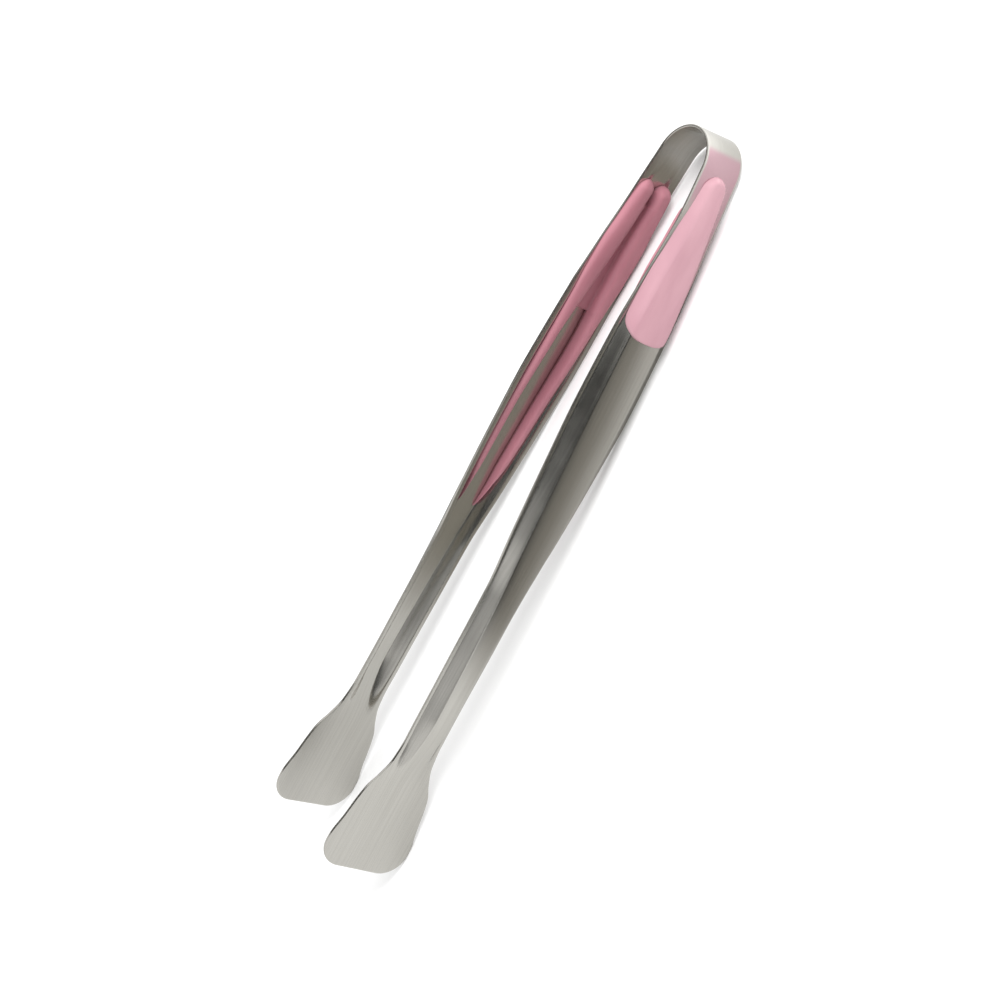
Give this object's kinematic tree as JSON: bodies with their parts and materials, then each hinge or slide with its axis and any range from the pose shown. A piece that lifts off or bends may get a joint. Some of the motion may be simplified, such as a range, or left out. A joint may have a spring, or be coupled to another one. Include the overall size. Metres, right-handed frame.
{
  "type": "spring tongs",
  "caption": "Spring loaded kitchen tongs bent from one sprung steel strip, with flat spade tips and rose plastic grips inside and outside each arm.",
  "frame": {"origin": "centre of the bounding box's bottom face, the tongs standing on the lower edges of their tips", "axes": "+X along the tongs from the tips to the bow, +Z across the strip, Y the way the arms open with the near arm at -Y"},
  "size_m": [0.24, 0.043, 0.03],
  "materials": {
    "steel": "satin, brushed along the strip",
    "outer_grip": "glossy rose",
    "inner_grip": "satin rose"
  },
  "bodies": {
    "near_side": {"near_arm": "steel", "spring_bow": "steel", "near_outer_grip": "outer_grip", "near_inner_grip": "inner_grip"},
    "far_side": {"far_arm": "steel", "far_outer_grip": "outer_grip", "far_inner_grip": "inner_grip"}
  },
  "joints": [
    {"name": "squeeze", "type": "hinge", "parent": "near_side", "child": "far_side", "pos_m": [0.11544, 0, 0.015], "axis": [0, 0, 1], "range_deg": [0, 8], "stiffness_Nm_per_rad": 3.4, "deforming": ["spring_bow"]}
  ]
}
